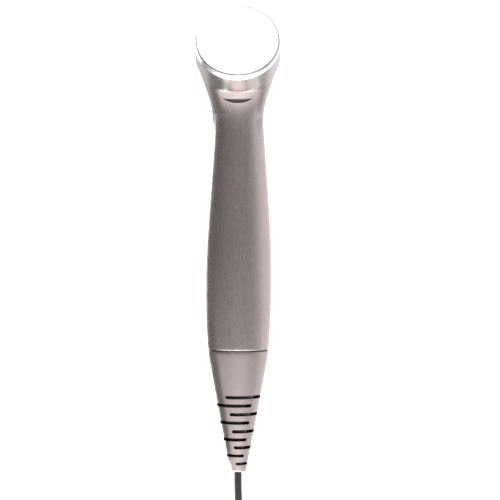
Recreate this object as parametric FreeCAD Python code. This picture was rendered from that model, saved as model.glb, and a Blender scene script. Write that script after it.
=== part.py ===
import FreeCAD, Part
import math
import os

# Handheld ultrasound therapy applicator with its lead and plug.
# Drawing frame: X to the right, Y along the handle toward the head, Z out of
# the handle's front.  Z = 0 is the handle's axis.  Everything is moved at the
# end so that the origin is the middle of the bottom of the applicator, which
# lies on its back with the treatment face looking up and forward.

V = FreeCAD.Vector

# ------------------------------------------------------------ dimensions, mm
FLOOR_Z = -13.77           # surface that the applicator lies on
BOOT_END_Y = -101.7        # where the lead leaves the boot
SEAM_Y = -45.9             # joint between the shells and the tail boot
SEAM_GAP = 0.56
WALL = 2.2                 # shell wall
PARTING_Z = 6.2            # joint between front and rear shell

TILT = 25.5                # treatment face, from the handle's axis
FACE_Y, FACE_Z = 94.0, 18.0
CAP_R = 19.0               # radiating cap
CAP_SIDE = 2.8
CAP_EDGE_R = 1.0
CAP_FLARE = 0.45            # the cap's side widens this much toward the collar
FACE_T = 2.6
COLLAR_R = 19.5
COLLAR_BORE = 16.5
COLLAR_TOP = -2.9
COLLAR_BOTTOM = -12.7
MOUTH_R = 18.9             # housing where it meets the collar
PIEZO_R, PIEZO_T = 12.6, 2.0

CABLE_D = 3.6
CABLE_R = CABLE_D / 2.0

SLOT_LEVELS = [-66.95, -70.8, -74.8, -78.7, -82.7, -86.5, -90.2, -94.0, -97.75]
SLOT_H = 1.5
SLOT_DEPTH = 2.9
# front slot of each level, in degrees from straight up toward +X
SLOT_ARCS = [(-34, 94), (-88, 42), (-25, 94), (-88, 42), (-22, 92), (-86, 39),
             (-20, 90), (-84, 35), (-13, 76)]

PCB_X, PCB_Y0, PCB_Y1, PCB_Z, PCB_T = 8.5, -24.0, 40.0, -1.2, 1.6

HANK_Y0, HANK_Y1 = -182.0, -238.0   # centres of the hank's two turns
HANK_R_IN, HANK_R_OUT = 11.2, 14.8  # centrelines of the two columns of turns
HANK_LIFT = 0.85                    # the tie runs under the hank
HANK_H = 18.1
LEAD_Z = FLOOR_Z + HANK_LIFT + CABLE_R + 0.05

PLUG_X, PLUG_Z = 10.0, FLOOR_Z + 6.4
PLUG_Y = -280.0                     # back end of the plug's own boot
SLEEVE_R = 6.0
NOSE_R = 4.0
SLEEVE_TRAVEL = 2.0

N_POLES = 24
POLE_K = 3.0 / (2.0 + math.cos(2 * math.pi / N_POLES))

nodes = {}


# ------------------------------------------------------------------- helpers
def skin_solid(rows):
    """Closed solid under a cubic surface whose control rows are closed rings.
    A row is (near point, far point, half width): near and far are (y, z) on
    the middle plane, front and back."""
    poles = []
    for i in range(N_POLES):
        t = 2 * math.pi * i / N_POLES
        col = []
        for (ny, nz), (fy, fz), a in rows:
            cy, cz = (ny + fy) / 2.0, (nz + fz) / 2.0
            hy, hz = (ny - fy) / 2.0, (nz - fz) / 2.0
            s, c = math.sin(t) * POLE_K, math.cos(t) * POLE_K
            col.append(V(a * c, cy + hy * s, cz + hz * s))
        poles.append(col)
    m = len(rows)
    knots_v = list(range(m - 2))
    mults_v = [4] + [1] * (m - 4) + [4]
    surf = Part.BSplineSurface()
    surf.buildFromPolesMultsKnots(poles, [1] * (N_POLES + 1), mults_v,
                                  list(range(N_POLES + 1)), knots_v,
                                  True, False, 3, 3)
    side = surf.toShape()
    closed = [e for e in side.Edges if e.isClosed()]
    caps = [Part.Face(Part.Wire([e])) for e in closed]
    solid = Part.Solid(Part.Shell([side] + caps))
    solid.fix(1e-6, 1e-6, 1e-6)
    return solid


def y_row(y, a, top, bottom, inset=0.0):
    return ((y, top - inset), (y, -(bottom - inset)), a - inset)


def cyl(p, d, r, h):
    return Part.makeCylinder(r, h, V(*p), V(*d))


def box(x0, x1, y0, y1, z0, z1):
    return Part.makeBox(x1 - x0, y1 - y0, z1 - z0, V(x0, y0, z0))


def tube(points, r, r_in=0.0):
    """Round tube along straight runs joined by tangent arcs, each arc as
    large as its two runs allow."""
    pts = [V(*p) for p in points]
    edges, last = [], pts[0]
    for i in range(1, len(pts) - 1):
        a, b, c = pts[i - 1], pts[i], pts[i + 1]
        u, w = (a - b), (c - b)
        run = min(u.Length, w.Length)
        u.normalize()
        w.normalize()
        cut = 0.45 * run
        p, q = b + u * cut, b + w * cut
        half = u.getAngle(w) / 2.0
        rad = cut * math.tan(half)
        mid_dir = (u + w)
        mid_dir.normalize()
        centre = b + mid_dir * (cut / math.cos(half))
        m = centre - mid_dir * rad
        edges.append(Part.LineSegment(last, p).toShape())
        edges.append(Part.Arc(p, m, q).toShape())
        last = q
    edges.append(Part.LineSegment(last, pts[-1]).toShape())
    path = Part.Wire(edges)
    d = pts[1] - pts[0]
    ring = Part.Wire([Part.Circle(pts[0], d, r).toShape()])
    solid = path.makePipeShell([ring], True, False)
    if r_in:
        hole = Part.Wire([Part.Circle(pts[0], d, r_in).toShape()])
        solid = solid.cut(path.makePipeShell([hole], True, False))
    return solid


def spring(p, d, r, wire, height, turns):
    """Compression spring: round wire on a helix, along d from p."""
    helix = Part.makeHelix(height / turns, height, r)
    ring = Part.Wire([Part.Circle(V(r, 0, 0), V(0, 1, 0), wire / 2.0).toShape()])
    s = Part.Wire(helix.Edges).makePipeShell([ring], True, True)
    turn = FreeCAD.Rotation(V(0, 0, 1), V(*d))
    if turn.Angle > 1e-9:
        s.rotate(V(0, 0, 0), turn.Axis, math.degrees(turn.Angle))
    s.translate(V(*p))
    return s


def head(shape):
    """From the head's own frame (Z out of the face, origin on the face) to
    the drawing frame."""
    s = shape.copy()
    s.rotate(V(0, 0, 0), V(1, 0, 0), -TILT)
    s.translate(V(0, FACE_Y, FACE_Z))
    return s


def revolve(profile):
    """Turn (radius, height) points round the head's own Z axis."""
    pts = [V(r, 0, z) for r, z in profile]
    face = Part.Face(Part.makePolygon(pts + [pts[0]]))
    return face.revolve(V(0, 0, 0), V(0, 0, 1), 360)


def ring(r_out, r_in, z0, z1):
    return revolve([(r_in, z0), (r_out, z0), (r_out, z1), (r_in, z1)])


def group(shapes):
    return Part.makeCompound(shapes)


# ------------------------------------------------------- housing outer shape
def housing(inset=0.0, y_end=None, mouth=None, past=0.0):
    """Outer shape of the two shells together, or the same shape inset."""
    end = SEAM_Y + SEAM_GAP / 2.0
    table = [(-41.4, 14.50, 13.05, 13.05), (-32.2, 15.04, 13.35, 13.35),
             (-23.0, 15.31, 13.55, 13.60), (-11.5, 15.52, 13.65, 13.80),
             (0.0, 15.42, 13.45, 13.75), (11.5, 14.90, 12.98, 13.40),
             (23.0, 14.20, 12.42, 12.95), (34.0, 13.44, 11.90, 12.40),
             (46.0, 12.62, 11.40, 11.85), (55.0, 11.98, 11.22, 11.50)]
    rows = []
    if inset == 0.0:
        rows += [y_row(end, 14.20, 12.90, 12.90, 0.45),
                 y_row(end + 0.03, 14.20, 12.90, 12.90, 0.12),
                 y_row(end + 0.5, 14.22, 12.92, 12.92)]
    else:
        e = end if y_end is None else y_end
        rows += [y_row(e, 14.20, 12.90, 12.90, inset),
                 y_row(e + 1.5, 14.25, 12.95, 12.95, inset)]
    rows += [y_row(*t, inset) for t in table]
    fan = [((61.5, 11.58), (62.4, -11.35), 11.62),
           ((66.3, 12.72), (70.5, -11.75), 12.97),
           ((69.2, 13.80), (80.0, -12.75), 14.95),
           ((70.45, 14.26), (90.0, -14.05), 16.70),
           ((70.95, 14.45), (98.5, -13.00), 18.15),
           ((71.2, 14.54), (102.9, -8.00), 18.85)]
    t = math.radians(TILT)
    n = (math.sin(t), math.cos(t))
    m = (math.cos(t), -math.sin(t))
    for (ny, nz), (fy, fz), a in fan:
        L = math.hypot(ny - fy, nz - fz)
        dy, dz = (fy - ny) / L, (fz - nz) / L
        rows.append(((ny + dy * inset, nz + dz * inset),
                     (fy - dy * inset, fz - dz * inset), a - inset))
    r = MOUTH_R if mouth is None else mouth
    w = COLLAR_BOTTOM - 0.05 + past
    cy, cz = FACE_Y + n[0] * w, FACE_Z + n[1] * w
    if past:
        w2 = COLLAR_BOTTOM - 0.6
        c2y, c2z = FACE_Y + n[0] * w2, FACE_Z + n[1] * w2
        rows.append(((c2y - m[0] * r, c2z - m[1] * r),
                     (c2y + m[0] * r, c2z + m[1] * r), r))
    rows.append(((cy - m[0] * r, cz - m[1] * r),
                 (cy + m[0] * r, cz + m[1] * r), r))
    return skin_solid(rows)


outer = housing()
cavity = housing(WALL, y_end=SEAM_Y - 1.0, mouth=16.6, past=2.0)
spigot_bore = head(Part.makeCylinder(17.7, 4.2, V(0, 0, COLLAR_BOTTOM - 3.2)))
shell_both = outer.cut(cavity).cut(spigot_bore)

# region of the front shell: above the parting plane, with rounded lower
# corners where the parting runs into the seam
R_CORNER = 3.2
corner = box(-30, 30, SEAM_Y - 5, SEAM_Y + SEAM_GAP / 2 + R_CORNER, PARTING_Z - 1, PARTING_Z + R_CORNER)
corner = corner.cut(Part.makeCylinder(R_CORNER, 62, V(-31, SEAM_Y + SEAM_GAP / 2 + R_CORNER, PARTING_Z + R_CORNER), V(1, 0, 0)))
front_region = box(-40, 40, SEAM_Y - 5, 140, PARTING_Z, 60).cut(corner)

# seal cord that lies in the parting, halfway through the wall
seal_y = SEAM_Y + SEAM_GAP / 2 + 5.0
seal_band = housing(0.85, y_end=SEAM_Y - 1.0, mouth=18.3, past=-0.4).cut(housing(1.45, y_end=SEAM_Y - 1.0, mouth=17.9, past=-0.4))
seal_slab = box(-40, 40, seal_y, 80.0, PARTING_Z - 0.35, PARTING_Z + 0.35)
seal = seal_band.common(seal_slab)
if len(seal.Solids) > 2:
    seal = group(sorted(seal.Solids, key=lambda s: -s.Volume)[:2])

front = shell_both.common(front_region).cut(seal)
rear = shell_both.cut(front_region).cut(seal)


# -------------------------------------------------- indicator window and lens
def crescent(grow, z0, z1):
    """Prism along Z over the window: a nearly straight upper edge and a
    curved lower edge."""
    tip = 6.9 + grow * 1.6
    top = Part.Arc(V(-tip, 68.45, z0), V(0, 68.02 + grow, z0), V(tip, 68.45, z0)).toShape()
    low = Part.Arc(V(tip, 68.45, z0), V(0, 66.25 - grow, z0), V(-tip, 68.45, z0)).toShape()
    return Part.Face(Part.Wire([top, low])).extrude(V(0, 0, z1 - z0))


window = crescent(0.0, 5.0, 20.0)
lens = crescent(-0.04, 5.0, 20.0).common(housing(0.55)).cut(housing(2.0))
lens = sorted(lens.Solids, key=lambda s: -s.Volume)[0]
front = front.cut(window)

# ------------------------------------------------- bosses and shell fasteners
# two screws from the back join the shells; two pillars carry the board
SHELL_SCREWS = [(-7.8, -30.0), (7.8, -30.0), (0.0, 49.0)]
BOARD_SCREW_Y = [-14.0, 31.0]
for x, y in SHELL_SCREWS:
    low = cyl((x, y, -13.5), (0, 0, 1), 3.4, 13.5 + 2.0).common(housing(0.3))
    rear = rear.fuse(low)
    rear = rear.cut(cyl((x, y, -20), (0, 0, 1), 2.4, 20 - 6.0))
    rear = rear.cut(cyl((x, y, -20), (0, 0, 1), 1.35, 23))
    up = cyl((x, y, 2.1), (0, 0, 1), 3.0, 12).common(housing(0.3))
    up = up.cut(cyl((x, y, -5), (0, 0, 1), 1.25, 13.0))
    front = front.fuse(up)
for y in BOARD_SCREW_Y:
    rear = rear.fuse(cyl((0, y, -13.0), (0, 0, 1), 2.6, 13.0 + PCB_Z).common(housing(0.3)))
    rear = rear.cut(cyl((0, y, -8.0), (0, 0, 1), 0.95, 12))
nodes["front_shell"] = front.removeSplitter()
nodes["rear_shell"] = rear.removeSplitter()
nodes["parting_seal"] = seal
nodes["indicator_lens"] = lens

screws = []
for x, y in SHELL_SCREWS:
    s = cyl((x, y, -8.0), (0, 0, 1), 2.2, 2.0)
    s = s.cut(cyl((x, y, -8.5), (0, 0, 1), 0.9, 1.6))
    s = s.fuse(cyl((x, y, -6.0), (0, 0, 1), 1.2, 13.0))
    screws.append(s)
nodes["shell_screws"] = group(screws)

# -------------------------------------------------------------- head, in w
flange = revolve([(0, 0), (CAP_R - CAP_EDGE_R, 0), (CAP_R, -CAP_EDGE_R),
                  (CAP_R + CAP_FLARE, -CAP_SIDE), (16.4, -CAP_SIDE), (16.4, -9.0),
                  (14.6, -9.0), (14.6, -FACE_T), (0, -FACE_T)])
edge = Part.makeTorus(CAP_R - CAP_EDGE_R, CAP_EDGE_R, V(0, 0, -CAP_EDGE_R))
edge = edge.common(ring(CAP_R + 1, CAP_R - CAP_EDGE_R, -CAP_EDGE_R, 1))
cap = flange.fuse(edge).cut(ring(17, 15.4, -5.65, -4.35))
nodes["radiating_cap"] = head(cap.removeSplitter())
nodes["cap_o_ring"] = head(Part.makeTorus(15.96, 0.52, V(0, 0, -5.0)))

collar = revolve([(COLLAR_BORE, COLLAR_TOP), (COLLAR_R - 0.15, COLLAR_TOP),
                  (COLLAR_R, COLLAR_TOP - 0.15), (COLLAR_R, COLLAR_BOTTOM + 0.25),
                  (COLLAR_R - 0.25, COLLAR_BOTTOM), (17.6, COLLAR_BOTTOM),
                  (17.6, COLLAR_BOTTOM - 3.0), (COLLAR_BORE, COLLAR_BOTTOM - 3.0)])
collar = collar.cut(ring(18.5, 17.75, COLLAR_BOTTOM, COLLAR_BOTTOM + 0.7))
nodes["collar_ring"] = head(collar)
nodes["head_gasket"] = head(ring(18.45, 17.8, COLLAR_BOTTOM, COLLAR_BOTTOM + 0.65))

nodes["piezo_disc"] = head(Part.makeCylinder(PIEZO_R, PIEZO_T, V(0, 0, -FACE_T - PIEZO_T)))
insul = ring(14.5, 12.7, -6.0, -FACE_T)
insul = insul.cut(Part.makeCylinder(0.7, 5, V(0, 13.6, -7.0)))
nodes["piezo_insulator_ring"] = head(insul)
nodes["temperature_sensor"] = head(Part.makeCylinder(0.6, 3.0, V(0, 13.6, -FACE_T - 3.0)))
z_pz = -FACE_T - PIEZO_T
nodes["electrode_tab"] = head(Part.makeCylinder(4.0, 0.15, V(0, 0, z_pz - 0.15)))
nodes["ground_ring"] = head(ring(14.4, 12.9, -8.6, -6.05))
carrier = revolve([(1.3, -10.6), (14.4, -10.6), (14.4, -8.65), (1.3, -8.65)])
for x in (-7.0, 7.0):
    carrier = carrier.cut(Part.makeCylinder(1.1, 4, V(x, 0, -12)))
nodes["contact_carrier"] = head(carrier)
term = Part.makeCylinder(2.3, 0.5, V(0, 0, -8.6)).fuse(Part.makeCylinder(1.2, 4.6, V(0, 0, -12.7)))
nodes["contact_terminal"] = head(term.removeSplitter())
spring_top = z_pz - 0.2
nodes["contact_spring"] = head(spring((0, 0, -7.75), (0, 0, 1), 1.8, 0.5, spring_top - 0.3 + 7.75, 3.0))
nut = ring(16.4, 11.5, -13.1, -10.65)
for k in range(4):
    t = math.radians(45 + 90 * k)
    nut = nut.cut(Part.makeCylinder(0.9, 4, V(14.0 * math.cos(t), 14.0 * math.sin(t), -14.0)))
nodes["retaining_nut"] = head(nut)

# ---------------------------------------------------------------- electronics
pcb = box(-PCB_X, PCB_X, PCB_Y0, PCB_Y1, PCB_Z, PCB_Z + PCB_T)
for y in BOARD_SCREW_Y:
    pcb = pcb.cut(cyl((0, y, PCB_Z - 1), (0, 0, 1), 1.15, 4))
nodes["main_board"] = pcb
PT = PCB_Z + PCB_T
bs = []
for y in BOARD_SCREW_Y:
    s = cyl((0, y, PT), (0, 0, 1), 1.9, 1.1).cut(cyl((0, y, PT + 0.5), (0, 0, 1), 0.7, 1.0))
    bs.append(s.fuse(cyl((0, y, PT - 6.0), (0, 0, 1), 0.9, 6.0)))
nodes["board_screws"] = group(bs)
core = Part.makeTorus(4.6, 1.7, V(0, 8.5, PT + 2.3))
nodes["tuning_inductor_core"] = core
turns = []
for k in range(14):
    t = 2 * math.pi * (k + 0.5) / 14
    c = V(4.6 * math.cos(t), 8.5 + 4.6 * math.sin(t), PT + 2.3)
    d = V(-math.sin(t), math.cos(t), 0)
    turns.append(Part.makeTorus(2.0, 0.24, c, d))
nodes["tuning_inductor_winding"] = group(turns)
nodes["board_capacitors"] = group([box(-7.5, -4.5, 18.5, 21.5, PT, PT + 2.2),
                                   box(-3.0, 0.0, 18.5, 21.5, PT, PT + 2.2),
                                   box(4.0, 7.5, -3.5, 0.0, PT, PT + 1.6),
                                   box(-7.5, -4.0, -3.5, 0.0, PT, PT + 1.6)])
nodes["calibration_chip"] = box(2.5, 7.5, 17.5, 21.5, PT, PT + 1.2)
nodes["wire_header"] = box(-5.0, 5.0, -23.5, -19.0, PT, PT + 3.2).cut(box(-4.4, 4.4, -25, -20.5, PT + 0.7, PT + 2.6))
nodes["wire_plug"] = box(-4.3, 4.3, -26.5, -20.6, PT + 0.75, PT + 2.55)
nodes["indicator_board"] = box(-5.5, 5.5, 61.0, 67.5, 5.9, 6.7)
nodes["indicator_leds"] = group([box(x - 0.8, x + 0.8, 65.5, 67.1, 6.7, 7.4) for x in (-3.4, 0.0, 3.4)])

# ------------------------------------------------------------------ tail boot
bt = SEAM_Y - SEAM_GAP / 2.0
boot_rows = [y_row(bt, 14.18, 12.88, 12.88, 0.45), y_row(bt - 0.03, 14.18, 12.88, 12.88, 0.12),
             y_row(bt - 0.5, 14.12, 12.82, 12.82), y_row(-51.0, 13.42, 12.25, 12.25),
             y_row(-57.5, 12.22, 11.35, 11.35), y_row(-63.5, 11.12, 10.5, 10.5),
             y_row(-69.0, 10.07, 9.68, 9.68), y_row(-75.0, 8.95, 8.72, 8.72),
             y_row(-80.5, 7.90, 7.75, 7.75), y_row(-86.5, 6.72, 6.66, 6.66),
             y_row(-92.0, 5.62, 5.60, 5.60), y_row(-96.0, 4.85, 4.85, 4.85),
             y_row(-99.6, 4.15, 4.15, 4.15), y_row(-101.1, 3.84, 3.84, 3.84),
             y_row(BOOT_END_Y, 3.62, 3.62, 3.62), y_row(BOOT_END_Y - 0.02, 3.0, 3.0, 3.0)]
boot = skin_solid(boot_rows)
spig = skin_solid([y_row(-48.0, 11.9, 10.6, 10.6), y_row(-45.5, 11.9, 10.6, 10.6),
                   y_row(-43.5, 11.92, 10.62, 10.62), y_row(-41.5, 11.95, 10.65, 10.65)])
boot_in = skin_solid([y_row(-41.0, 9.9, 8.5, 8.5), y_row(-46.0, 9.9, 8.5, 8.5),
                      y_row(-52.0, 9.95, 8.8, 8.8), y_row(-57.0, 9.2, 8.5, 8.5),
                      y_row(-63.0, 6.6, 6.4, 6.4), y_row(-72.0, 4.40, 4.40, 4.40),
                      y_row(-81.0, 3.30, 3.30, 3.30), y_row(-90.0, 2.55, 2.55, 2.55),
                      y_row(-95.5, 2.10, 2.10, 2.10), y_row(-99.0, 1.95, 1.95, 1.95)])
boot = boot.fuse(spig).cut(boot_in).cut(cyl((0, -110, 0), (0, 1, 0), CABLE_R + 0.05, 70))


def boot_radius(y):
    """Half-width of the boot at y, between its rows."""
    rows = [(-63.5, 11.12), (-69.0, 10.07), (-75.0, 8.95), (-80.5, 7.90), (-86.5, 6.72),
            (-92.0, 5.62), (-96.0, 4.85), (-99.6, 4.15)]
    for (ya, ra), (yb, rb) in zip(rows, rows[1:]):
        if ya >= y >= yb:
            return ra + (rb - ra) * (y - ya) / (yb - ya)
    return rows[-1][1]


def slot_tool(y, h, r_in, a0, a1):
    """Slot round the boot's axis from angle a0 to a1, ends rounded."""
    disc = cyl((0, y - h / 2, 0), (0, 1, 0), 18, h).cut(cyl((0, y - h, 0), (0, 1, 0), r_in, 2 * h))
    mean = r_in + 1.6
    pad = math.degrees(h / 2 / mean)
    a0, a1 = a0 + pad, a1 - pad
    parts, step = [], (a1 - a0) / 3.0
    for i in range(3):
        t0, t1 = math.radians(a0 + step * i), math.radians(a0 + step * (i + 1))
        p = [V(0, y - 2, 0), V(40 * math.sin(t0), y - 2, 40 * math.cos(t0)),
             V(40 * math.sin(t1), y - 2, 40 * math.cos(t1)), V(0, y - 2, 0)]
        parts.append(disc.common(Part.Face(Part.makePolygon(p)).extrude(V(0, 4, 0))))
    for a in (a0, a1):
        t = math.radians(a)
        d = V(math.sin(t), 0, math.cos(t))
        parts.append(Part.makeCylinder(h / 2, 18 - r_in, V(0, y, 0) + d * r_in, d))
    return parts


slots = []
for k, y in enumerate(SLOT_LEVELS):
    h = SLOT_H if k < 7 else SLOT_H - 0.15
    r_in = max(boot_radius(y) - SLOT_DEPTH, CABLE_R + 0.75)
    a0, a1 = SLOT_ARCS[k]
    for turn in (0.0, 180.0):
        slots += slot_tool(y, h, r_in, a0 + turn, a1 + turn)
boot = boot.cut(slots)
nodes["strain_relief_boot"] = boot
lip = skin_solid([y_row(SEAM_Y - SEAM_GAP / 2 + 0.01, 13.70, 12.40, 12.40), y_row(SEAM_Y - 0.08, 13.74, 12.44, 12.44),
                  y_row(SEAM_Y + 0.08, 13.74, 12.44, 12.44), y_row(SEAM_Y + SEAM_GAP / 2 - 0.01, 13.70, 12.40, 12.40)])
nodes["tail_gasket"] = lip.cut(skin_solid([y_row(SEAM_Y - 1.5, 12.0, 10.7, 10.7), y_row(SEAM_Y - 0.5, 12.0, 10.7, 10.7),
                                           y_row(SEAM_Y + 0.5, 12.0, 10.7, 10.7), y_row(SEAM_Y + 1.5, 12.0, 10.7, 10.7)]))

insert = skin_solid([y_row(-52.0, 9.7, 8.35, 8.35), y_row(-48.0, 9.75, 8.35, 8.35),
                     y_row(-43.0, 9.75, 8.35, 8.35), y_row(-36.0, 9.75, 8.35, 8.35)])
insert = insert.cut(cyl((0, -60, 0), (0, 1, 0), CABLE_R + 0.05, 40))
insert = insert.cut(box(-12, 12, -44.0, -30, 0.4, 12))
for x in (-5.5, 5.5):
    insert = insert.cut(cyl((x, -40.0, -6.0), (0, 0, 1), 1.0, 10))
nodes["tail_insert"] = insert
clamp = box(-8.2, 8.2, -42.6, -37.4, 0.6, 3.6)
clamp = clamp.cut(cyl((0, -50, 0), (0, 1, 0), CABLE_R + 0.03, 20))
for x in (-5.5, 5.5):
    clamp = clamp.cut(cyl((x, -40.0, -1), (0, 0, 1), 1.1, 8))
nodes["cable_clamp"] = clamp
cs = []
for x in (-5.5, 5.5):
    s = cyl((x, -40.0, 3.6), (0, 0, 1), 1.9, 1.3).cut(cyl((x, -40.0, 4.3), (0, 0, 1), 0.7, 1.0))
    cs.append(s.fuse(cyl((x, -40.0, -4.4), (0, 0, 1), 0.95, 8.0)))
nodes["clamp_screws"] = group(cs)

# --------------------------------------------------- wiring inside the handle
nodes["inner_cable"] = cyl((0, BOOT_END_Y, 0), (0, 1, 0), CABLE_R, -34.5 - BOOT_END_Y)
nodes["crimp_sleeve"] = cyl((0, -34.5, 0), (0, 1, 0), 1.75, 3.2).cut(cyl((0, -36, 0), (0, 1, 0), 1.36, 6))
cond = []
for x in (-0.62, 0.62):
    for z in (-0.5, 0.62):
        fx = 3.4 if abs(z) > 0.55 else 1.3
        fx = math.copysign(fx, x)
        cond.append(tube([(x, -34.4, z), (x, -30.6, z), (fx, -28.8, PT + 1.6), (fx, -26.55, PT + 1.65)], 0.42))
nodes["cable_conductors"] = group(cond)
t = math.radians(TILT)


def hp(x, m, w):
    """Point given in the head's frame, in the drawing frame."""
    return (x, FACE_Y + m * math.cos(t) + w * math.sin(t), FACE_Z - m * math.sin(t) + w * math.cos(t))


nodes["drive_lead"] = tube([hp(0, 0, -12.72), hp(0, 0, -18.5), (4.6, 70.0, -3.0), (5.0, 52.0, -3.6), (3.4, 44.5, 1.6), (1.6, 38.0, PT + 1.0)], 0.8)
nodes["ground_lead"] = tube([hp(7.0, 0.0, -8.75), hp(7.0, 0.3, -17.5), (7.4, 70.5, -1.4), (7.0, 52.0, -1.9), (6.6, 44.5, 1.4), (6.5, 38.0, PT + 0.8)], 0.6)
nodes["sensor_lead"] = tube([hp(-7.0, 0.0, -8.75), hp(-7.0, 0.3, -17.5), (-6.6, 71.5, -1.6), (-5.6, 52.0, -1.9), (-5.3, 44.5, 1.2), (-5.2, 38.0, PT + 0.6)], 0.45)
nodes["indicator_leads"] = group([tube([(x, 61.0, 6.3), (x, 56.0, 6.3), (x * 1.01, 45.0, 3.4), (x * 0.98, 38.6, PT + 0.5)], 0.35) for x in (-4.1, 4.1)])

# ------------------------------------------------------------ lead, free part
LEAD_IN = [(0.0, BOOT_END_Y, 0.0), (0.0, -121.0, 0.0), (3.4, -145.0, -9.2),
           (HANK_R_IN, -164.5, LEAD_Z), (HANK_R_IN, HANK_Y0, LEAD_Z)]
LEAD_OUT = [(HANK_R_OUT, HANK_Y1, LEAD_Z), (HANK_R_OUT, -254.5, LEAD_Z),
            (PLUG_X, -269.5, PLUG_Z), (PLUG_X, PLUG_Y, PLUG_Z)]
nodes["cable"] = tube(LEAD_IN, CABLE_R)
nodes["cable_plug_end"] = tube(LEAD_OUT, CABLE_R)


def racetrack(r, z0, z1):
    b = box(-r, r, HANK_Y1, HANK_Y0, z0, z1)
    b = b.fuse(Part.makeCylinder(r, z1 - z0, V(0, HANK_Y0, z0)))
    return b.fuse(Part.makeCylinder(r, z1 - z0, V(0, HANK_Y1, z0)))


hz0 = FLOOR_Z + HANK_LIFT
hank = racetrack(HANK_R_OUT + CABLE_R + 0.05, hz0, hz0 + HANK_H)
hank = hank.cut(racetrack(HANK_R_IN - CABLE_R - 0.05, hz0 - 1, hz0 + HANK_H + 1))
hank = hank.cut(box(HANK_R_IN - 2.1, HANK_R_IN + 1.9, HANK_Y0, HANK_Y0 + 30, hz0 - 1, LEAD_Z + CABLE_R + 0.05))
hank = hank.cut(box(HANK_R_OUT - 1.9, HANK_R_OUT + 3, HANK_Y1 - 30, HANK_Y1, hz0 - 1, LEAD_Z + CABLE_R + 0.05))
nodes["cable_hank"] = hank.removeSplitter()

hy = (HANK_Y0 + HANK_Y1) / 2.0
hw = HANK_R_OUT + CABLE_R + 0.1
tie = box(-hw - 0.75, hw + 0.75, hy - 5, hy + 5, hz0 - 0.8, hz0 + HANK_H + 0.8)
tie = tie.makeFillet(2.2, [e for e in tie.Edges if abs(e.tangentAt(e.FirstParameter).y) > 0.99])
hole = box(-hw, hw, hy - 6, hy + 6, hz0 - 0.02, hz0 + HANK_H + 0.02)
nodes["hank_tie"] = tie.cut(hole)


# ----------------------------------------------------------------------- plug
def px(y, r, h, r_in=0.0):
    """Round piece of the plug from y toward the nose."""
    s = cyl((PLUG_X, y, PLUG_Z), (0, -1, 0), r, h)
    if r_in:
        s = s.cut(cyl((PLUG_X, y + 1, PLUG_Z), (0, -1, 0), r_in, h + 2))
    return s


def turned(profile):
    """Turn (radius, y) points round the plug's axis."""
    pts = [V(PLUG_X + r, y, PLUG_Z) for r, y in profile]
    return Part.Face(Part.makePolygon(pts + [pts[0]])).revolve(V(PLUG_X, 0, PLUG_Z), V(0, 1, 0), 360)


y0 = PLUG_Y
pb = turned([(CABLE_R + 0.03, y0), (2.7, y0), (4.3, y0 - 13), (4.3, y0 - 16), (CABLE_R + 0.03, y0 - 16)])
for k in range(5):
    yy = y0 - 2.2 - 2.3 * k
    pb = pb.cut(px(yy, 9, 0.9).cut(px(yy + 1, 2.35, 3.0)))
nodes["plug_boot"] = pb
nodes["plug_cable_end"] = cyl((PLUG_X, y0, PLUG_Z), (0, -1, 0), CABLE_R, 20.0)
bn = turned([(4.4, y0 - 10.2), (4.9, y0 - 10.2), (5.2, y0 - 10.6), (5.2, y0 - 19.0), (3.1, y0 - 19.0), (3.1, y0 - 16.1), (4.4, y0 - 16.1)])
for s in (1, -1):
    bn = bn.cut(box(PLUG_X + (4.7 if s > 0 else -7), PLUG_X + (7 if s > 0 else -4.7), y0 - 18.2, y0 - 12.5, PLUG_Z - 8, PLUG_Z + 8))
nodes["plug_back_nut"] = bn
body = turned([(2.9, y0 - 19.1), (5.2, y0 - 19.1), (5.2, y0 - 21.0), (4.3, y0 - 21.0), (4.3, y0 - 30.1),
               (3.55, y0 - 30.1), (3.55, y0 - 35.7), (NOSE_R, y0 - 35.7), (NOSE_R, y0 - 43.7), (NOSE_R - 0.3, y0 - 44.0), (3.05, y0 - 44.0),
               (3.05, y0 - 29.0), (2.9, y0 - 29.0)])
body = body.cut(box(PLUG_X - 0.5, PLUG_X + 0.5, y0 - 45, y0 - 38, PLUG_Z + NOSE_R - 0.35, PLUG_Z + NOSE_R + 1))
nodes["plug_body"] = body
ins = px(y0 - 29.1, 2.98, 14.5)
pins = []
for k in range(6):
    a = math.radians(60 * k)
    cx, cz = PLUG_X + 1.9 * math.cos(a), PLUG_Z + 1.9 * math.sin(a)
    ins = ins.cut(cyl((cx, y0 - 28, cz), (0, -1, 0), 0.46, 20))
    pins.append(cyl((cx, y0 - 27.6, cz), (0, -1, 0), 0.44, 15.4).cut(cyl((cx, y0 - 40.0, cz), (0, -1, 0), 0.26, 5)))
nodes["plug_insert"] = ins
nodes["plug_contacts"] = group(pins)

# release sleeve: rests forward, pulled back toward the lead to let go
sy = y0 - 21.0 - SLEEVE_TRAVEL - 0.4
sleeve = turned([(5.25, sy), (SLEEVE_R - 0.3, sy), (SLEEVE_R, sy - 0.4), (SLEEVE_R, sy - 11.6), (SLEEVE_R - 0.5, sy - 12.2),
                 (NOSE_R + 0.06, sy - 12.2), (NOSE_R + 0.06, sy - 9.0), (5.25, sy - 9.0)])
for k in range(6):
    yy = sy - 2.2 - 1.3 * k
    sleeve = sleeve.cut(px(yy, 8, 0.6).cut(px(yy + 1, SLEEVE_R - 0.35, 3)))
nodes["release_sleeve"] = sleeve
sp_len = 7.6
spr = spring((PLUG_X, y0 - 21.3, PLUG_Z), (0, -1, 0), 4.72, 0.5, sp_len + 3.2, 4.5)
nodes["sleeve_spring"] = spr

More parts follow.
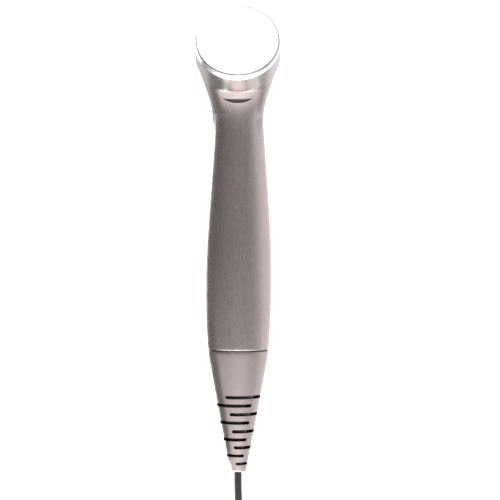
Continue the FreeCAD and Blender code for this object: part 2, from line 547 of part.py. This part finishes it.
# ------------------------------------------------------- place and write out
os.makedirs("parts", exist_ok=True)
low_y = BOOT_END_Y - 0.02
high_y = nodes["radiating_cap"].optimalBoundingBox(False).YMax
shift = V(0, -(low_y + high_y) / 2.0, -FLOOR_Z)
for name, shape in nodes.items():
    s = shape.copy()
    s.translate(shift)
    s.exportStep("parts/%s.step" % name)
print("shift", tuple(round(c, 4) for c in shift), "nodes", len(nodes))
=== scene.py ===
import math

import bmesh
import bpy
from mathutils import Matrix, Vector


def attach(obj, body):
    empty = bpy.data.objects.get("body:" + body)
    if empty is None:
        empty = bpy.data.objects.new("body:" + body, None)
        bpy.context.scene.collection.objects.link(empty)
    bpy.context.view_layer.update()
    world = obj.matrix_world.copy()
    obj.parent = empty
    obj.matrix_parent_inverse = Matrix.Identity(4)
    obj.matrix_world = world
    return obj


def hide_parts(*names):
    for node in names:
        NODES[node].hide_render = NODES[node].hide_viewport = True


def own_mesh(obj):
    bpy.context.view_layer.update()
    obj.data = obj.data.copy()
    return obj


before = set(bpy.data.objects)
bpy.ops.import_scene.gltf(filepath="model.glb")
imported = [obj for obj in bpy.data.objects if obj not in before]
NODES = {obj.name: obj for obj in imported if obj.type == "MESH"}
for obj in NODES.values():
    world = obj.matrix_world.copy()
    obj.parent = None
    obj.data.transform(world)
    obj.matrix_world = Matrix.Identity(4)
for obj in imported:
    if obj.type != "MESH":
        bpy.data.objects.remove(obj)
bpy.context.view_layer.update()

ROOT = "applicator"

# the drawing frame of the part, in millimetres, against the row frame
SHIFT = Vector((0.0, -4.548, 13.77))
FLOOR_Z = -13.77


def P(x, y, z):
    """A point of the drawing, in metres in the row frame."""
    return Vector((x + SHIFT.x, y + SHIFT.y, z + SHIFT.z)) * 0.001


# ------------------------------------------------------------------- camera
cam_data = bpy.data.cameras.new("camera")
cam = bpy.data.objects.new("camera", cam_data)
bpy.context.scene.collection.objects.link(cam)
cam_data.sensor_width = 36.0
cam_data.lens = 100.8
cam_data.clip_start = 0.01
cam_data.clip_end = 20.0
cam.location = P(5.6, 0.0, 644.0)
cam.rotation_euler = (0, 0, 0)
bpy.context.scene.camera = cam

# brightness of the surround by direction, and of the lit floor across it
SKY_X = [(-1.0, 0.13), (-0.95, 0.16), (-0.87, 0.24), (-0.7, 0.31), (-0.5, 0.35), (0.0, 0.42),
         (0.5, 0.46), (0.7, 0.53), (0.87, 0.80), (0.96, 1.15), (0.99, 1.4), (1.0, 1.4)]
TAIL_X = [(-1.0, 0.52), (-0.8, 0.72), (-0.3, 0.80), (0.0, 0.90), (0.3, 0.86), (0.7, 0.70),
          (0.9, 0.66), (1.0, 0.75)]
SKY_T = [(-1.0, 1.0), (-0.24, 1.0), (-0.04, 0.0), (1.0, 0.0)]
SKY_Y = [(-1.0, 5.5), (-0.97, 6.0), (-0.93, 7.0), (-0.8, 5.8), (-0.72, 3.8), (-0.6, 3.2), (-0.45, 2.3), (-0.34, 1.1), (-0.3, 1.0), (0.9, 1.0),
         (0.96, 0.6), (1.0, 0.5)]
CARD_X = [(-1.0, 0.0), (-0.55, 0.0), (-0.38, 1.0), (0.38, 1.0), (0.55, 0.0), (1.0, 0.0)]
CARD_Y = [(-1.0, 0.0), (0.52, 0.0), (0.60, 1.7), (0.92, 1.7), (0.95, 0.0), (1.0, 0.0)]
FLOOR_X = [(-0.4, 1.6), (-0.06, 4.6), (-0.02, 4.6), (0.0, 1.4), (0.02, 1.05), (0.12, 1.0), (0.4, 1.0)]
FLOOR_Y = [(-0.4, 1.0), (0.125, 1.0), (0.16, 0.35), (0.4, 0.3)]

sc = bpy.context.scene
sc.view_settings.view_transform = "Standard"
sc.view_settings.look = "None"


# ------------------------------------------------------------ material tools
class Mat:
    """A node material with the few helpers that the materials below share."""

    def __init__(self, name):
        self.m = bpy.data.materials.new(name)
        self.m.use_nodes = True
        self.nt = self.m.node_tree
        self.b = self.nt.nodes["Principled BSDF"]

    def n(self, kind, **props):
        node = self.nt.nodes.new(kind)
        for k, v in props.items():
            setattr(node, k, v)
        return node

    def link(self, a, b):
        self.nt.links.new(a, b)

    def set(self, **vals):
        for k, v in vals.items():
            self.b.inputs[k.replace("_", " ")].default_value = v
        return self

    def coords(self, scale, rot=(0, 0, 0)):
        tc = self.n("ShaderNodeTexCoord")
        mp = self.n("ShaderNodeMapping")
        mp.inputs["Scale"].default_value = scale
        mp.inputs["Rotation"].default_value = rot
        self.link(tc.outputs["Object"], mp.inputs["Vector"])
        return mp.outputs["Vector"]

    def noise(self, vec, scale, detail=3.0, rough=0.5, dist=0.0):
        t = self.n("ShaderNodeTexNoise")
        t.inputs["Scale"].default_value = scale
        t.inputs["Detail"].default_value = detail
        t.inputs["Roughness"].default_value = rough
        t.inputs["Distortion"].default_value = dist
        self.link(vec, t.inputs["Vector"])
        return t.outputs["Fac"]

    def ramp(self, fac, stops):
        r = self.n("ShaderNodeValToRGB")
        e = r.color_ramp.elements
        while len(e) > 1:
            e.remove(e[-1])
        e[0].position, e[0].color = stops[0][0], (*stops[0][1], 1)
        for pos, col in stops[1:]:
            x = e.new(pos)
            x.color = (*col, 1)
        self.link(fac, r.inputs["Fac"])
        return r.outputs["Color"]

    def map(self, fac, lo, hi, a=0.0, b=1.0):
        r = self.n("ShaderNodeMapRange")
        r.inputs["From Min"].default_value = a
        r.inputs["From Max"].default_value = b
        r.inputs["To Min"].default_value = lo
        r.inputs["To Max"].default_value = hi
        self.link(fac, r.inputs["Value"])
        return r.outputs["Result"]

    def bump(self, height, strength, dist, normal=None):
        bp = self.n("ShaderNodeBump")
        bp.inputs["Strength"].default_value = strength
        bp.inputs["Distance"].default_value = dist
        self.link(height, bp.inputs["Height"])
        if normal is not None:
            self.link(normal, bp.inputs["Normal"])
        return bp.outputs["Normal"]

    def mixc(self, fac, a, b):
        x = self.n("ShaderNodeMix", data_type="RGBA")
        if isinstance(fac, float):
            x.inputs[0].default_value = fac
        else:
            self.link(fac, x.inputs[0])
        for sock, v in ((x.inputs[6], a), (x.inputs[7], b)):
            if isinstance(v, tuple):
                sock.default_value = (*v, 1)
            else:
                self.link(v, sock)
        return x.outputs[2]

    def to(self, sock, name):
        self.link(sock, self.b.inputs[name])
        return self


def painted_slot_shade(m):
    """Painted shade mask: 1 inside the boot's slots, where no light gets in and the skin is painted near-black as
    shade, 0 on its skin.
    """
    tc = m.n("ShaderNodeTexCoord")
    sp = m.n("ShaderNodeSeparateXYZ")
    m.link(tc.outputs["Object"], sp.inputs[0])
    zz = m.n("ShaderNodeMath", operation="SUBTRACT")
    zz.inputs[1].default_value = SHIFT.z * 0.001
    m.link(sp.outputs["Z"], zz.inputs[0])
    z2 = m.n("ShaderNodeMath", operation="MULTIPLY")
    z2.inputs[1].default_value = 1.025
    m.link(zz.outputs[0], z2.inputs[0])
    cb = m.n("ShaderNodeCombineXYZ")
    m.link(sp.outputs["X"], cb.inputs[0])
    m.link(z2.outputs[0], cb.inputs[1])
    ln = m.n("ShaderNodeVectorMath", operation="LENGTH")
    m.link(cb.outputs[0], ln.inputs[0])
    skin = m.n("ShaderNodeMath", operation="MULTIPLY_ADD")
    y0 = P(0, -63.5, 0).y
    skin.inputs[1].default_value = 0.1931
    skin.inputs[2].default_value = 0.01112 - 0.1931 * y0
    m.link(sp.outputs["Y"], skin.inputs[0])
    depth = m.n("ShaderNodeMath", operation="SUBTRACT")
    m.link(skin.outputs[0], depth.inputs[0])
    m.link(ln.outputs["Value"], depth.inputs[1])
    shade_depth = m.map(depth.outputs[0], 0.0, 1.0, 0.00030, 0.00065)
    below = m.n("ShaderNodeMath", operation="LESS_THAN")
    below.inputs[1].default_value = P(0, -65.6, 0).y
    m.link(sp.outputs["Y"], below.inputs[0])
    both = m.n("ShaderNodeMath", operation="MULTIPLY")
    m.link(shade_depth, both.inputs[0])
    m.link(below.outputs[0], both.inputs[1])
    return both.outputs[0]


def satin_metal(name, base, rough=(0.25, 0.32), streak=1.0, slots=False):
    """Satin metallic lacquer with a faint lengthwise grain and fine flake."""
    m = Mat(name)
    m.set(Metallic=0.92)
    m.b.inputs["Coat Weight"].default_value = 0.18
    m.b.inputs["Coat Roughness"].default_value = 0.28
    long_vec = m.coords((1500.0, 420.0, 1500.0))
    fine_vec = m.coords((3200.0, 1500.0, 3200.0))
    grain = m.noise(long_vec, 1.0, 4.0, 0.6)
    fine = m.noise(fine_vec, 1.0, 3.0, 0.6)
    flake = m.noise(m.coords((1, 1, 1)), 5200.0, 2.0, 0.6)
    cloud = m.noise(m.coords((1, 1, 1)), 38.0, 3.0, 0.5)
    lo = tuple(c * (1 - 0.13 * streak) for c in base)
    hi = tuple(min(1.0, c * (1 + 0.13 * streak)) for c in base)
    col = m.ramp(grain, [(0.30, lo), (0.70, hi)])
    col = m.mixc(m.map(fine, 0.0, 0.22, 0.45, 0.75), col, tuple(min(1, c * 1.3) for c in base))
    col = m.mixc(m.map(cloud, 0.0, 0.16, 0.42, 0.70), col, tuple(c * 0.86 for c in base))
    # painted shade: the boot's slot interiors are painted near-black and made non-metallic, standing in for the
    # shade inside them
    if slots:
        shade_depth = painted_slot_shade(m)
        col = m.mixc(shade_depth, col, (0.010, 0.007, 0.007))
        flat = m.n("ShaderNodeMath", operation="MULTIPLY_ADD")
        flat.inputs[1].default_value = -0.92
        flat.inputs[2].default_value = 0.92
        m.link(shade_depth, flat.inputs[0])
        m.to(flat.outputs[0], "Metallic")
    m.to(col, "Base Color")
    add = m.n("ShaderNodeMath", operation="ADD")
    m.link(m.map(grain, rough[0], rough[1], 0.3, 0.7), add.inputs[0])
    m.link(m.map(flake, -0.03, 0.03, 0.35, 0.65), add.inputs[1])
    m.to(add.outputs[0], "Roughness")
    nrm = m.bump(grain, 0.10 * streak, 0.00006)
    nrm = m.bump(flake, 0.06, 0.00002, nrm)
    m.to(nrm, "Normal")
    return m.m


def turned_metal(name, base, rough, axis_rot=0.0, centre=(0, 0, 0), rings=2400.0, bump=0.05, band=0.1, aniso=0.0, rim_shade=None):
    """Metal with fine turning marks about the axis through centre."""
    m = Mat(name)
    m.set(Metallic=1.0)
    if aniso:
        m.b.inputs["Anisotropic"].default_value = aniso
        ax = m.n("ShaderNodeCombineXYZ")
        ax.inputs[1].default_value = math.sin(axis_rot)
        ax.inputs[2].default_value = math.cos(axis_rot)
        m.link(ax.outputs[0], m.b.inputs["Tangent"])
    tc = m.n("ShaderNodeTexCoord")
    sub = m.n("ShaderNodeVectorMath", operation="SUBTRACT")
    sub.inputs[1].default_value = centre
    m.link(tc.outputs["Object"], sub.inputs[0])
    rot = m.n("ShaderNodeVectorRotate", rotation_type="X_AXIS")
    rot.inputs["Angle"].default_value = axis_rot
    m.link(sub.outputs[0], rot.inputs["Vector"])
    sep = m.n("ShaderNodeSeparateXYZ")
    m.link(rot.outputs[0], sep.inputs[0])
    flat = m.n("ShaderNodeCombineXYZ")
    m.link(sep.outputs[0], flat.inputs[0])
    m.link(sep.outputs[1], flat.inputs[1])
    ln = m.n("ShaderNodeVectorMath", operation="LENGTH")
    m.link(flat.outputs[0], ln.inputs[0])
    cmb = m.n("ShaderNodeCombineXYZ")
    m.link(ln.outputs["Value"], cmb.inputs[0])
    m.link(sep.outputs[2], cmb.inputs[1])
    t = m.n("ShaderNodeTexNoise")
    t.inputs["Scale"].default_value = rings
    t.inputs["Detail"].default_value = 3.0
    m.link(cmb.outputs[0], t.inputs["Vector"])
    marks = t.outputs["Fac"]
    stain = m.noise(m.coords((1, 1, 1)), 120.0, 4.0, 0.6)
    col = m.ramp(marks, [(0.35, tuple(c * (1 - band) for c in base)), (0.65, base)])
    col = m.mixc(m.map(stain, 0.0, 0.25, 0.5, 0.8), col, tuple(c * 0.9 for c in base))
    # painted shade: a grey ring painted on the face beyond the given radius, standing in for the darker
    # reflection of the cap's rounded edge
    if rim_shade:
        r0, r1, rim_shade_tone = rim_shade
        near = m.map(ln.outputs["Value"], 0.0, 1.0, r0, r1)
        top = m.n("ShaderNodeMath", operation="GREATER_THAN")
        top.inputs[1].default_value = -0.0011
        m.link(sep.outputs[2], top.inputs[0])
        fac = m.n("ShaderNodeMath", operation="MULTIPLY")
        m.link(near, fac.inputs[0])
        m.link(top.outputs[0], fac.inputs[1])
        col = m.mixc(fac.outputs[0], col, rim_shade_tone)
    m.to(col, "Base Color")
    m.to(m.map(marks, rough[0], rough[1], 0.3, 0.7), "Roughness")
    m.to(m.bump(marks, bump, 0.00003), "Normal")
    return m.m


def moulded(name, base, rough=0.5, grain=0.06, spec=0.45, coat=0.0):
    """Moulded plastic or rubber: fine spark texture and slight cloudiness."""
    m = Mat(name)
    m.b.inputs["Specular IOR Level"].default_value = spec
    m.b.inputs["Coat Weight"].default_value = coat
    g = m.noise(m.coords((1, 1, 1)), 2600.0, 3.0, 0.6)
    c = m.noise(m.coords((1, 1, 1)), 60.0, 3.0, 0.5)
    col = m.ramp(c, [(0.35, tuple(x * 0.93 for x in base)), (0.65, tuple(min(1, x * 1.06) for x in base))])
    m.to(col, "Base Color")
    m.to(m.map(g, rough - 0.06, rough + 0.06, 0.3, 0.7), "Roughness")
    m.to(m.bump(g, grain, 0.00004), "Normal")
    return m.m


HOUSING = satin_metal("housing_satin", (0.340, 0.289, 0.284), streak=0.5)
# the boot's material paints shade into its slots
BOOT = satin_metal("boot_satin", (0.325, 0.277, 0.272), rough=(0.30, 0.38), streak=0.5, slots=True)
T = math.radians(25.5)
FACE_C = P(0.0, 94.0, 18.0)
# the cap's face gets a painted shade ring at its rounded edge
CAP = turned_metal("cap_metal", (0.90, 0.895, 0.89), (0.20, 0.26), T, tuple(FACE_C), bump=0.03,
                   rim_shade=(0.01804, 0.01835, (0.44, 0.425, 0.42)))
COLLAR = turned_metal("collar_metal", (0.44, 0.40, 0.39), (0.27, 0.33), T, tuple(FACE_C), bump=0.08)
RUBBER = moulded("seal_rubber", (0.028, 0.028, 0.03), 0.6)


def lens_material():
    """Smoked window with painted shading: a little paler toward its upper edge and darker toward its lower edge."""
    m = Mat("lens_smoked")
    tc = m.n("ShaderNodeTexCoord")
    sp = m.n("ShaderNodeSeparateXYZ")
    m.link(tc.outputs["Object"], sp.inputs[0])
    g = m.noise(m.coords((1, 1, 1)), 900.0, 3.0, 0.6)
    # painted shading: the window's colour ramps paler toward its upper edge
    painted_top_light = m.map(sp.outputs["Y"], 0.0, 1.0, P(0, 66.9, 0).y, P(0, 68.4, 0).y)
    col = m.ramp(painted_top_light, [(0.0, (0.026, 0.020, 0.020)), (0.45, (0.050, 0.040, 0.040)), (1.0, (0.17, 0.14, 0.138))])
    col = m.mixc(m.map(g, 0.0, 0.2, 0.4, 0.8), col, (0.05, 0.04, 0.04))
    m.to(col, "Base Color")
    m.to(m.map(g, 0.16, 0.26, 0.3, 0.7), "Roughness")
    m.to(m.bump(g, 0.02, 0.00003), "Normal")
    m.b.inputs["Specular IOR Level"].default_value = 0.3
    return m.m


LENS = lens_material()
STEEL = turned_metal("screw_steel", (0.62, 0.61, 0.60), (0.25, 0.4), 0.0, (0, 0, 0), rings=900.0)
CERAMIC = moulded("crystal_ceramic", (0.84, 0.82, 0.74), 0.45)
NATURAL = moulded("nylon_natural", (0.80, 0.77, 0.70), 0.5)
BLACK = moulded("nylon_black", (0.022, 0.022, 0.024), 0.5)
BRASS = turned_metal("brass_plated", (0.80, 0.62, 0.30), (0.2, 0.35), 0.0, (0, 0, 0), rings=700.0)
COPPER = moulded("copper_enamel", (0.62, 0.24, 0.08), 0.3, coat=0.6)
PCB = moulded("pcb_green", (0.018, 0.13, 0.055), 0.3, grain=0.03, coat=0.4)
FERRITE = moulded("ferrite_core", (0.05, 0.05, 0.055), 0.6)
CHIP = moulded("chip_epoxy", (0.016, 0.016, 0.018), 0.45)
TAN = moulded("capacitor_ceramic", (0.42, 0.27, 0.13), 0.45)
LED = moulded("lamp_epoxy", (0.85, 0.85, 0.78), 0.12, grain=0.0)
WIRE_RED = moulded("wire_red", (0.50, 0.03, 0.02), 0.4)
WIRE_WHITE = moulded("wire_white", (0.78, 0.78, 0.75), 0.4)
JACKET = moulded("cable_jacket", (0.022, 0.019, 0.018), 0.34, grain=0.05, spec=0.45)
PLUG = turned_metal("plug_satin_chrome", (0.72, 0.71, 0.70), (0.18, 0.32), math.pi / 2, tuple(P(10.0, 0, -7.37)), rings=900.0)


def tie_material():
    m = Mat("tie_fabric")
    m.b.inputs["Sheen Weight"].default_value = 0.4
    v = m.coords((1, 1, 1))
    w = m.n("ShaderNodeTexWave", wave_type="BANDS", bands_direction="Y")
    w.inputs["Scale"].default_value = 700.0
    w.inputs["Distortion"].default_value = 1.5
    m.link(v, w.inputs["Vector"])
    fuzz = m.noise(v, 1800.0, 4.0, 0.7)
    col = m.ramp(fuzz, [(0.3, (0.012, 0.012, 0.014)), (0.7, (0.06, 0.06, 0.065))])
    m.to(col, "Base Color")
    m.set(Roughness=0.9)
    m.to(m.bump(fuzz, 0.6, 0.0003, m.bump(w.outputs["Fac"], 0.5, 0.0002)), "Normal")
    return m.m


TIE = tie_material()

FINISH = {
    "front_shell": HOUSING, "rear_shell": HOUSING, "strain_relief_boot": BOOT,
    "radiating_cap": CAP, "collar_ring": COLLAR, "parting_seal": RUBBER, "tail_gasket": RUBBER,
    "head_gasket": RUBBER, "cap_o_ring": RUBBER, "indicator_lens": LENS,
    "shell_screws": STEEL, "board_screws": STEEL, "clamp_screws": STEEL,
    "piezo_disc": CERAMIC, "piezo_insulator_ring": NATURAL, "electrode_tab": BRASS,
    "ground_ring": BRASS, "contact_carrier": NATURAL, "contact_terminal": BRASS,
    "contact_spring": BRASS, "retaining_nut": BRASS, "temperature_sensor": CHIP,
    "main_board": PCB, "indicator_board": PCB, "tuning_inductor_core": FERRITE,
    "tuning_inductor_winding": COPPER, "board_capacitors": TAN, "calibration_chip": CHIP,
    "wire_header": NATURAL, "wire_plug": NATURAL, "indicator_leds": LED,
    "tail_insert": BLACK, "cable_clamp": BLACK, "inner_cable": JACKET,
    "crimp_sleeve": BRASS, "cable_conductors": WIRE_WHITE, "drive_lead": WIRE_RED,
    "ground_lead": WIRE_WHITE, "sensor_lead": WIRE_WHITE, "indicator_leads": WIRE_RED,
    "hank_tie": TIE, "plug_boot": BLACK, "plug_cable_end": JACKET,
    "plug_back_nut": PLUG, "plug_body": PLUG, "plug_insert": NATURAL,
    "plug_contacts": BRASS, "release_sleeve": PLUG, "sleeve_spring": STEEL,
}
for node, mat in FINISH.items():
    o = NODES[node]
    o.data.materials.clear()
    o.data.materials.append(mat)

# --------------------------------------------------------------------- lead
CABLE_R = 1.8
LEAD_Z = FLOOR_Z + 0.85 + CABLE_R + 0.05
HY0, HY1 = -182.0, -238.0
RI, RO = 11.2, 14.8
PITCH = 3.6


def hank_points():
    """Control points of the hank's turns: the inner column winds up from the
    table, crosses over on top, and the outer column winds down."""
    step = math.radians(30.0)
    grow = 1.0 / math.cos(step / 2.0)

    def turn_z(s):
        return LEAD_Z + PITCH * s

    pts = []

    def straight(x0, x1, y0, y1, z0, z1, ends=(0.33, 0.67)):
        for f in ends:
            pts.append((x0 + (x1 - x0) * f, y0 + (y1 - y0) * f, z0 + (z1 - z0) * f))

    def arc(r, cy, sign, z0, z1):
        # sign -1: the far turn, from +x round to -x; +1: back again
        for k in range(6):
            a = step * (k + 0.5)
            x = r * grow * math.cos(a) * (1 if sign < 0 else -1)
            y = cy + sign * r * grow * math.sin(a)
            f = (k + 0.5) / 6.0
            pts.append((x, y, z0 + (z1 - z0) * f))

    def half_lengths(r):
        run, bend = abs(HY1 - HY0), math.pi * r
        return run / (2 * (run + bend)), bend / (2 * (run + bend))

    # inner column, four and a half turns up
    fr, fb = half_lengths(RI)
    s = 0.0
    for half in range(9):
        x = RI if half % 2 == 0 else -RI
        ya, yb = (HY0, HY1) if half % 2 == 0 else (HY1, HY0)
        straight(x, x, ya, yb, turn_z(s), turn_z(s + fr))
        s += fr
        arc(RI, yb, -1 if half % 2 == 0 else 1, turn_z(s), turn_z(s + fb))
        s += fb
    top = turn_z(s)
    # across, outward, on the left-hand run
    straight(-RI, -RO, HY1, HY0, top, top, ends=(0.3, 0.7))
    # outer column, three and a half turns down, then the last run
    fr, fb = half_lengths(RO)
    z = top
    arc(RO, HY0, 1, z, z - PITCH * fb)
    z -= PITCH * fb
    for half in range(6):
        x = RO if half % 2 == 0 else -RO
        ya, yb = (HY0, HY1) if half % 2 == 0 else (HY1, HY0)
        straight(x, x, ya, yb, z, z - PITCH * fr)
        z -= PITCH * fr
        arc(RO, yb, -1 if half % 2 == 0 else 1, z, z - PITCH * fb)
        z -= PITCH * fb
    straight(RO, RO, HY0, HY1, z, LEAD_Z, ends=(0.25, 0.6))
    return pts, z


IN = [(0.0, -101.7, 0.0), (0.0, -121.0, 0.0), (3.4, -145.0, -9.2),
      (RI, -164.5, LEAD_Z)]
OUT = [(RO, HY1, LEAD_Z), (RO, -254.5, LEAD_Z), (10.0, -269.5, FLOOR_Z + 6.4),
       (10.0, -280.0, FLOOR_Z + 6.4)]
turns, z_end = hank_points()
print("hank: last full turn ends", round(z_end - LEAD_Z, 2), "mm above the first")
route = [P(*p) for p in IN + turns + OUT]

curve = bpy.data.curves.new("lead", "CURVE")
curve.dimensions = "3D"
spline = curve.splines.new("NURBS")
spline.points.add(len(route) - 1)
for p, q in zip(spline.points, route):
    p.co = (*q, 1.0)
spline.order_u = 3
spline.use_endpoint_u = True
spline.resolution_u = 8
curve.bevel_depth = CABLE_R * 0.001
curve.bevel_resolution = 6
curve.use_fill_caps = True
lead = bpy.data.objects.new("lead", curve)
bpy.context.scene.collection.objects.link(lead)
curve.materials.append(JACKET)
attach(lead, ROOT)
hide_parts("cable", "cable_hank", "cable_plug_end")


def spline_length(sp_obj):
    c = sp_obj.data.copy()
    c.bevel_depth = 0.0
    o = bpy.data.objects.new("tmp_line", c)
    me = bpy.data.meshes.new_from_object(o)
    vs = [v.co.copy() for v in me.vertices]
    bpy.data.objects.remove(o)
    return sum((b - a).length for a, b in zip(vs, vs[1:]))


LEAD_LENGTH = spline_length(lead)
print("lead length", round(LEAD_LENGTH, 4))

# --------------------------------------------------------------------- stage
class Tree:
    """Small helper for the stage's node trees."""

    def __init__(self, nt):
        self.nt = nt

    def n(self, kind, **props):
        node = self.nt.nodes.new(kind)
        for k, v in props.items():
            setattr(node, k, v)
        return node

    def link(self, a, b):
        self.nt.links.new(a, b)

    def curve(self, value, lo, hi, stops):
        """Piecewise smooth function of value over lo..hi."""
        mr = self.n("ShaderNodeMapRange")
        mr.inputs["From Min"].default_value = lo
        mr.inputs["From Max"].default_value = hi
        self.link(value, mr.inputs["Value"])
        r = self.n("ShaderNodeValToRGB")
        r.color_ramp.interpolation = "LINEAR"
        top = max(v for _, v in stops)
        e = r.color_ramp.elements
        while len(e) > 1:
            e.remove(e[-1])
        for k, (x, v) in enumerate(stops):
            el = e[0] if k == 0 else e.new((x - lo) / (hi - lo))
            el.position = (x - lo) / (hi - lo)
            el.color = (v / top, v / top, v / top, 1)
        self.link(mr.outputs["Result"], r.inputs["Fac"])
        m = self.n("ShaderNodeMath", operation="MULTIPLY")
        m.inputs[1].default_value = top
        self.link(r.outputs["Color"], m.inputs[0])
        return m.outputs[0]

    def mul(self, a, b):
        m = self.n("ShaderNodeMath", operation="MULTIPLY")
        self.link(a, m.inputs[0])
        if isinstance(b, float):
            m.inputs[1].default_value = b
        else:
            self.link(b, m.inputs[1])
        return m.outputs[0]


bpy.ops.mesh.primitive_plane_add(size=6.0, location=(0, 0, 0))
floor = bpy.context.object
floor.name = "floor"
fm = bpy.data.materials.new("floor_white")
fm.use_nodes = True
ft = Tree(fm.node_tree)
bs = ft.nt.nodes["Principled BSDF"]
bs.inputs["Base Color"].default_value = (0.35, 0.35, 0.35, 1)
bs.inputs["Roughness"].default_value = 0.9
bs.inputs["Emission Color"].default_value = (1, 1, 1, 1)
tc = ft.n("ShaderNodeTexCoord")
sep = ft.n("ShaderNodeSeparateXYZ")
ft.link(tc.outputs["Object"], sep.inputs[0])
across = ft.curve(sep.outputs["X"], -0.4, 0.4, FLOOR_X)
away = ft.curve(sep.outputs["Y"], -0.4, 0.4, FLOOR_Y)
ft.link(ft.mul(across, away), bs.inputs["Emission Strength"])
floor.data.materials.append(fm)

# soft surround: darker to the left, a long soft box low on the right, a large
# card beyond the head and a smaller one beyond the lead
world = bpy.data.worlds.new("studio")
sc.world = world
world.use_nodes = True
wt = Tree(world.node_tree)
bg = wt.nt.nodes["Background"]
wc = wt.n("ShaderNodeTexCoord")
ws = wt.n("ShaderNodeSeparateXYZ")
wt.link(wc.outputs["Generated"], ws.inputs[0])
side = wt.curve(ws.outputs["X"], -1.0, 1.0, SKY_X)
tail = wt.curve(ws.outputs["X"], -1.0, 1.0, TAIL_X)
blend = wt.curve(ws.outputs["Y"], -1.0, 1.0, SKY_T)
mx = wt.n("ShaderNodeMix", data_type="FLOAT")
wt.link(blend, mx.inputs[0])
wt.link(side, mx.inputs[2])
wt.link(tail, mx.inputs[3])
along = wt.curve(ws.outputs["Y"], -1.0, 1.0, SKY_Y)
card = wt.mul(wt.curve(ws.outputs["X"], -1.0, 1.0, CARD_X), wt.curve(ws.outputs["Y"], -1.0, 1.0, CARD_Y))
both = wt.n("ShaderNodeMath", operation="ADD")
wt.link(wt.mul(mx.outputs[0], along), both.inputs[0])
wt.link(card, both.inputs[1])
wt.link(both.outputs[0], bg.inputs["Strength"])
bg.inputs["Color"].default_value = (1, 1, 1, 1)


def flag(name, pts, z0, z1, grey):
    """Upright card along a line on the floor: absorbs light beside the
    object, as a black board beside a bright table does."""
    bm = bmesh.new()
    low = [bm.verts.new(P(x, y, z0)) for x, y in pts]
    high = [bm.verts.new(P(x, y, z1)) for x, y in pts]
    for i in range(len(pts) - 1):
        bm.faces.new((low[i], low[i + 1], high[i + 1], high[i]))
    board(name, bm, grey)


def mat_card(name, pts, z, grey):
    """Flat card lying just over the floor."""
    bm = bmesh.new()
    bm.faces.new([bm.verts.new(P(x, y, z)) for x, y in pts])
    board(name, bm, grey)


def board(name, bm, grey):
    me = bpy.data.meshes.new(name)
    bm.to_mesh(me)
    bm.free()
    o = bpy.data.objects.new(name, me)
    sc.collection.objects.link(o)
    m = bpy.data.materials.new(name)
    m.use_nodes = True
    pb = m.node_tree.nodes["Principled BSDF"]
    pb.inputs["Base Color"].default_value = (0.02, 0.02, 0.02, 1)
    pb.inputs["Roughness"].default_value = 1.0
    pb.inputs["Emission Color"].default_value = (1, 1, 1, 1)
    pb.inputs["Emission Strength"].default_value = grey
    me.materials.append(m)
    o.visible_camera = False
    o.visible_shadow = False


flag("board_left", [(-66, 76), (-53, 46), (-38, 0), (-31, -23), (-26, -45), (-20, -104)], FLOOR_Z + 0.2, 11, 0.13)
bm = bmesh.new()
bm.faces.new([bm.verts.new(P(x, 61.5, z)) for x, z in
              ((-46, FLOOR_Z + 0.2), (-12.7, FLOOR_Z + 0.2), (-12.6, 0), (-11.6, 5.5),
               (-9.2, 9.6), (-6.4, 12.2), (-6.4, 13.0), (-46, 13.0))])
board("board_neck", bm, 0.22)
mat_card("card_neck", [(-62, 60), (-18, 60), (-21, 96), (-62, 96)], FLOOR_Z + 0.3, 0.95)
flag("board_neck_right", [(21, 61), (50, 61)], FLOOR_Z + 0.2, 8, 0.6)
mat_card("card_neck_right", [(18, 60), (66, 60), (66, 98), (21, 98)], FLOOR_Z + 0.3, 1.35)

# --------------------------------------------------------------------- close
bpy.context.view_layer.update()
# the sleeve's spring, which shortens as the sleeve is pulled back toward the lead, gets a mesh of its own
spring = bpy.data.objects["sleeve_spring"]
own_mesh(spring)
